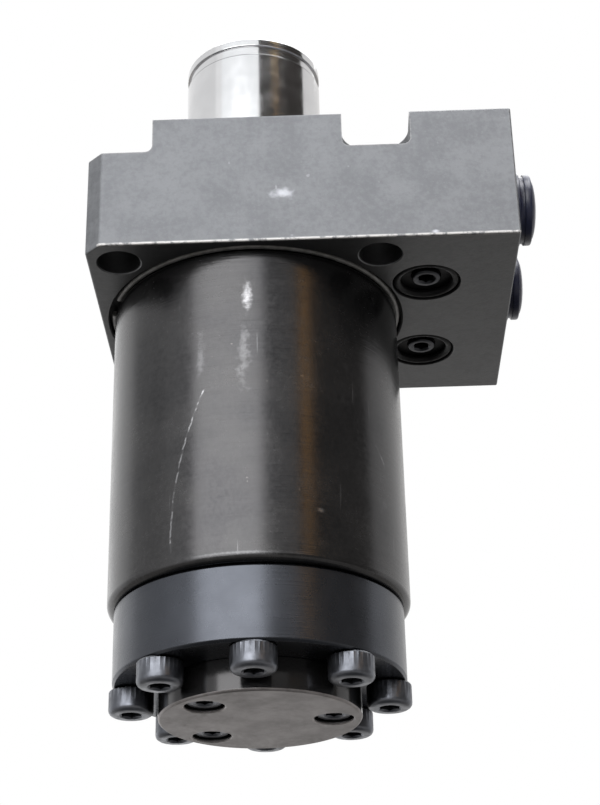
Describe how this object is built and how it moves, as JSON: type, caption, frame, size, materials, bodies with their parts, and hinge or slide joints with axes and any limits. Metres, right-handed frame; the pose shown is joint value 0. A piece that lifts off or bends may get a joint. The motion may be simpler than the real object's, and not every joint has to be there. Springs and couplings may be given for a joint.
{
  "type": "hydraulic swing clamp cylinder",
  "caption": "Double-acting hydraulic swing clamp with an upper mounting flange; the plunger turns as it slides and pulls a clamp arm down onto a workpiece.",
  "frame": {"origin": "centre of the base disc's outer face, on the plunger's axis", "axes": "+Z along the axis towards the plunger's tip, +X towards the two side ports, -Y the front"},
  "size_m": [0.0736, 0.0528, 0.1221],
  "materials": {
    "ground_steel": "ground bare steel, mottled grey with bright worn edges",
    "black_steel": "honed and blackened steel, glossy, scratched",
    "cover_steel": "blackened steel, turned",
    "disc_steel": "warm grey phosphated steel, turned face",
    "screw_steel": "black oxide screws",
    "ring_steel": "drawn steel wire",
    "chrome": "hard chrome, polished",
    "iron": "machined iron, oiled",
    "bearing_steel": "polished bearing steel",
    "bronze": "turned bronze",
    "rubber": "black nitrile rubber",
    "seal_polymer": "green polyurethane seal",
    "cap_plastic": "dark navy moulded plastic"
  },
  "bodies": {
    "housing": {"flange_block": "ground_steel", "barrel": "black_steel", "end_cover": "cover_steel", "guide_post": "disc_steel", "gland_bush": "bronze", "rod_seal": "seal_polymer", "rod_wiper": "rubber", "retaining_ring": "ring_steel", "cover_screw_1": "screw_steel", "cover_screw_2": "screw_steel", "cover_screw_3": "screw_steel", "cover_screw_4": "screw_steel", "cover_screw_5": "screw_steel", "cover_screw_6": "screw_steel", "cover_screw_7": "screw_steel", "cover_screw_8": "screw_steel", "post_screw_1": "screw_steel", "post_screw_2": "screw_steel", "post_screw_3": "screw_steel", "gland_o_ring": "rubber", "barrel_o_ring": "rubber", "cover_o_ring": "rubber", "post_o_ring": "rubber", "manifold_plug_1": "screw_steel", "manifold_o_ring_1": "rubber", "gallery_o_ring_1": "rubber", "port_cap_1": "cap_plastic", "manifold_plug_2": "screw_steel", "manifold_o_ring_2": "rubber", "gallery_o_ring_2": "rubber", "port_cap_2": "cap_plastic"},
    "piston_rings": {"piston_seal": "seal_polymer", "piston_wear_ring": "bronze"},
    "plunger": {"plunger": "chrome", "piston": "iron", "piston_nut": "iron", "swing_ball_1": "bearing_steel", "swing_ball_2": "bearing_steel", "swing_ball_3": "bearing_steel"}
  },
  "joints": [
    {"name": "plunger_stroke", "type": "slide", "parent": "housing", "child": "piston_rings", "axis": [0, 0, 1], "range_m": [0, 0.024]},
    {"name": "plunger_swing", "type": "hinge", "parent": "piston_rings", "child": "plunger", "pos_m": [0, 0, 0.0322], "axis": [0, 0, 1], "range_deg": [0, 90]}
  ],
  "couplings": [
    {"joint": "plunger_swing", "follows": "plunger_stroke", "rad_per_m": 65.45}
  ]
}
